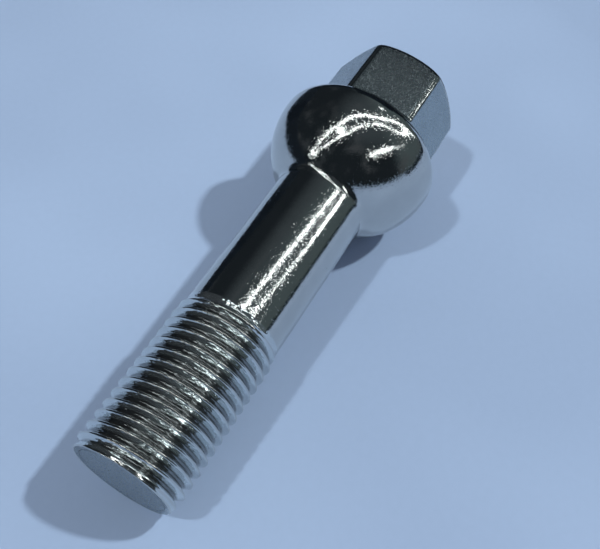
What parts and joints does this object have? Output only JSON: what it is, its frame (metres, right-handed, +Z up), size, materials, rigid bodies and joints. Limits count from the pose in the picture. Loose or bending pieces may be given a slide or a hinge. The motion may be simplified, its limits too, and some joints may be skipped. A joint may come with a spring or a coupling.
{
  "type": "wheel lug bolt",
  "caption": "One-piece wheel lug bolt with a rolled thread, plain shank, ball seat and hexagon head, lying as it comes to rest.",
  "frame": {"origin": "on the ground, under the middle of the bolt's bounding box as it lies", "axes": "+X from the threaded end towards the head, +Z up"},
  "size_m": [0.071, 0.024, 0.024],
  "materials": {
    "zinc_plated_steel": "bright zinc plating over cold-formed steel"
  },
  "bodies": {
    "root": {"lug_bolt": "zinc_plated_steel"}
  },
  "joints": []
}
